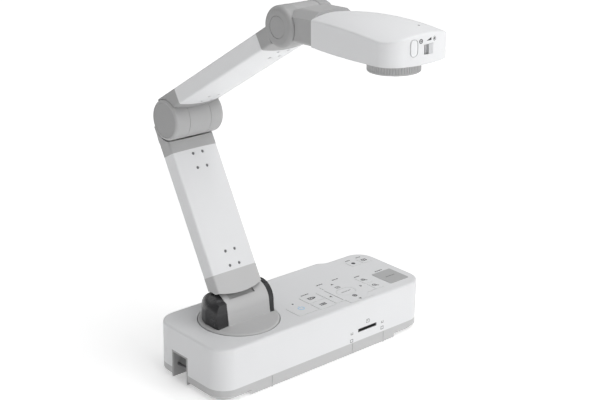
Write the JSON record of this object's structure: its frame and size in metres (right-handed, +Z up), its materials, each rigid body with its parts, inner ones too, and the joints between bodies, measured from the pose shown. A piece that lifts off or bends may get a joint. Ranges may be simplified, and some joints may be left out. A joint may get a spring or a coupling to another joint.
{
  "type": "document camera",
  "caption": "Desktop document camera: base with key panel and turntable, folding two-part arm, and a tilting camera head with focus ring and lamp switch.",
  "frame": {"origin": "centre of the base's footprint on the resting plane, on the middle rubber foot", "axes": "+Z up; +X along the base from the turntable end to the key end; -Y is the side that the head reaches over"},
  "size_m": [0.297, 0.3567, 0.4178],
  "materials": {
    "white_plastic": "fine satin texture",
    "gray_plastic": "fine satin texture",
    "key_gray": "satin",
    "dark_plastic": "satin",
    "silicone": "matt",
    "rubber": "matt",
    "circuit_board": "solder mask",
    "steel": "satin",
    "aluminium": "mill finish",
    "bearing_plastic": "acetal",
    "lens_glass": "coated",
    "light_window": "clear"
  },
  "bodies": {
    "base": {"base_top_cover": "white_plastic", "base_bottom_case": "gray_plastic", "base_screws": "steel", "rubber_feet": "rubber", "ballast_plate": "steel", "lock_pocket": "gray_plastic", "lock_bar": "steel", "card_reader": "dark_plastic", "main_board": "circuit_board", "socket_plate": "dark_plastic", "rear_sockets": "steel", "key_mat": "silicone", "key_board": "circuit_board", "power_light": "light_window", "swivel_bearing": "bearing_plastic"},
    "turntable": {"turntable_disc": "gray_plastic", "swivel_retainer": "bearing_plastic", "hinge_bracket": "gray_plastic", "left_bracket_cap": "dark_plastic", "right_bracket_cap": "dark_plastic", "lower_hinge_shaft": "steel"},
    "lower_arm": {"lower_hinge_knuckle": "gray_plastic", "lower_arm_collar": "gray_plastic", "lower_arm_tube": "white_plastic", "lower_arm_spine": "aluminium", "lower_arm_screws": "steel", "elbow_fork": "gray_plastic", "elbow_shaft": "steel", "elbow_caps": "gray_plastic"},
    "upper_arm": {"upper_elbow_knuckle": "gray_plastic", "upper_arm_root_collar": "gray_plastic", "upper_arm_tube": "white_plastic", "upper_arm_spine": "aluminium", "upper_arm_screws": "steel", "wrist_fork": "gray_plastic", "wrist_shaft": "steel", "wrist_caps": "gray_plastic"},
    "head": {"wrist_neck": "gray_plastic", "head_top_cover": "white_plastic", "head_bottom_cover": "white_plastic", "lens_barrel": "dark_plastic", "front_lens": "lens_glass", "camera_board": "circuit_board", "lamp_board": "circuit_board", "lamp_window": "lens_glass", "head_light": "light_window"},
    "focus_ring": {"lens_ring": "gray_plastic"},
    "lamp_slider": {"lamp_switch": "white_plastic"},
    "oval_button": {"head_button": "white_plastic"},
    "power_key_body": {"power_key": "white_plastic"},
    "source_key_body": {"source_key": "white_plastic"},
    "menu_key_body": {"menu_key": "white_plastic"},
    "enter_key_body": {"enter_key": "white_plastic"},
    "zoom_key_body": {"zoom_key": "white_plastic"},
    "focus_key_body": {"focus_key": "white_plastic"},
    "record_key_body": {"record_key": "white_plastic"},
    "split_key_body": {"split_key": "white_plastic"},
    "capture_key_body": {"capture_key": "key_gray"},
    "arrow_pad_body": {"arrow_pad": "white_plastic"}
  },
  "joints": [
    {"name": "base_swivel", "type": "hinge", "parent": "base", "child": "turntable", "pos_m": [-0.0808, 0.0009, 0.06], "axis": [0, 0, -1], "range_deg": [-90, 90]},
    {"name": "lower_arm_tilt", "type": "hinge", "parent": "turntable", "child": "lower_arm", "pos_m": [-0.0808, 0.00865, 0.0743], "axis": [-1, 0, 0], "range_deg": [-30, 60]},
    {"name": "elbow_bend", "type": "hinge", "parent": "lower_arm", "child": "upper_arm", "pos_m": [-0.0808, 0.08497, 0.26443], "axis": [1, 0, 0], "range_deg": [-80, 66]},
    {"name": "wrist_tilt", "type": "hinge", "parent": "upper_arm", "child": "head", "pos_m": [-0.0808, -0.09054, 0.39378], "axis": [-1, 0, 0], "range_deg": [-45, 100]},
    {"name": "focus_ring_turn", "type": "hinge", "parent": "head", "child": "focus_ring", "pos_m": [-0.0808, -0.21079, 0.38297], "axis": [0, 0.0349, 0.9994], "range_deg": [-90, 90]},
    {"name": "lamp_switch_slide", "type": "slide", "parent": "head", "child": "lamp_slider", "axis": [1, 0, 0], "range_m": [-0.005, 0]},
    {"name": "head_button_press", "type": "slide", "parent": "head", "child": "oval_button", "axis": [0, 0.9994, -0.0349], "range_m": [0, 0.0008], "stiffness_N_per_m": 1500, "springref_m": -0.0003},
    {"name": "power_key_press", "type": "slide", "parent": "base", "child": "power_key_body", "axis": [0, 0, -1], "range_m": [0, 0.0006], "stiffness_N_per_m": 2500, "springref_m": -0.0003},
    {"name": "source_key_press", "type": "slide", "parent": "base", "child": "source_key_body", "axis": [0, 0, -1], "range_m": [0, 0.0006], "stiffness_N_per_m": 2500, "springref_m": -0.0003},
    {"name": "menu_key_press", "type": "slide", "parent": "base", "child": "menu_key_body", "axis": [0, 0, -1], "range_m": [0, 0.0006], "stiffness_N_per_m": 2500, "springref_m": -0.0003},
    {"name": "enter_key_press", "type": "slide", "parent": "base", "child": "enter_key_body", "axis": [0, 0, -1], "range_m": [0, 0.0006], "stiffness_N_per_m": 2500, "springref_m": -0.0003},
    {"name": "zoom_key_press", "type": "slide", "parent": "base", "child": "zoom_key_body", "axis": [0, 0, -1], "range_m": [0, 0.0006], "stiffness_N_per_m": 2500, "springref_m": -0.0003},
    {"name": "focus_key_press", "type": "slide", "parent": "base", "child": "focus_key_body", "axis": [0, 0, -1], "range_m": [0, 0.0006], "stiffness_N_per_m": 2500, "springref_m": -0.0003},
    {"name": "record_key_press", "type": "slide", "parent": "base", "child": "record_key_body", "axis": [0, 0, -1], "range_m": [0, 0.0006], "stiffness_N_per_m": 2500, "springref_m": -0.0003},
    {"name": "split_key_press", "type": "slide", "parent": "base", "child": "split_key_body", "axis": [0, 0, -1], "range_m": [0, 0.0006], "stiffness_N_per_m": 2500, "springref_m": -0.0003},
    {"name": "capture_key_press", "type": "slide", "parent": "base", "child": "capture_key_body", "axis": [0, 0, -1], "range_m": [0, 0.0006], "stiffness_N_per_m": 2500, "springref_m": -0.0003},
    {"name": "arrow_pad_press", "type": "slide", "parent": "base", "child": "arrow_pad_body", "axis": [0, 0, -1], "range_m": [0, 0.0006], "stiffness_N_per_m": 2500, "springref_m": -0.0003}
  ]
}
